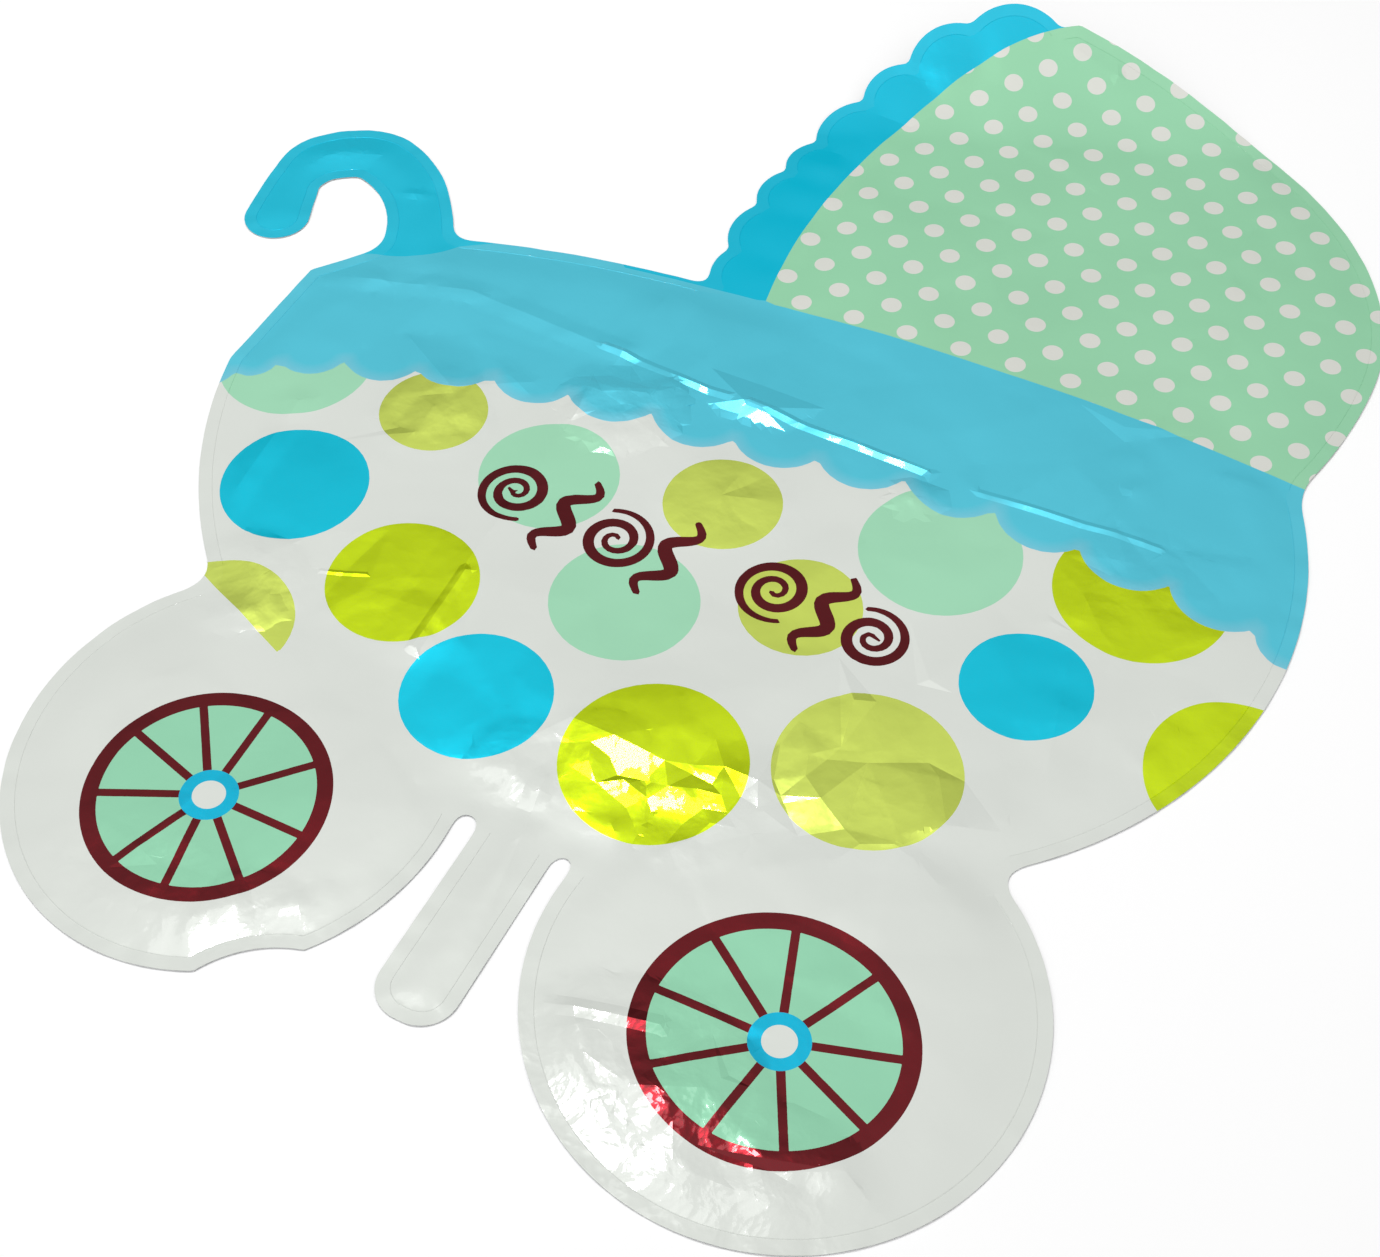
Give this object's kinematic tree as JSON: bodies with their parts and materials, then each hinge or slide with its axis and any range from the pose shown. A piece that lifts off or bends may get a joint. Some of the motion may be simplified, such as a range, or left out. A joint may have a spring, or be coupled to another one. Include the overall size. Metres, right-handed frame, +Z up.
{
  "type": "baby carriage foil balloon",
  "caption": "Empty foil party balloon in the outline of a baby carriage, with hood, hooked handle, wheel lobes and filling neck, lying flat with the hood's tip curled up.",
  "frame": {"origin": "under the middle of the balloon's plan, on the table", "axes": "+Z up from the table, +Y from the wheels to the hood, +X from the handle to the front wheel"},
  "size_m": [0.6694, 0.8158, 0.0375],
  "materials": {
    "printed_film": "glossy metallised film printed in white, mint, light blue, lime and maroon inks",
    "plain_film": "glossy plain silver metallised film"
  },
  "bodies": {
    "root": {"front_film": "printed_film", "back_film": "plain_film"}
  },
  "joints": []
}
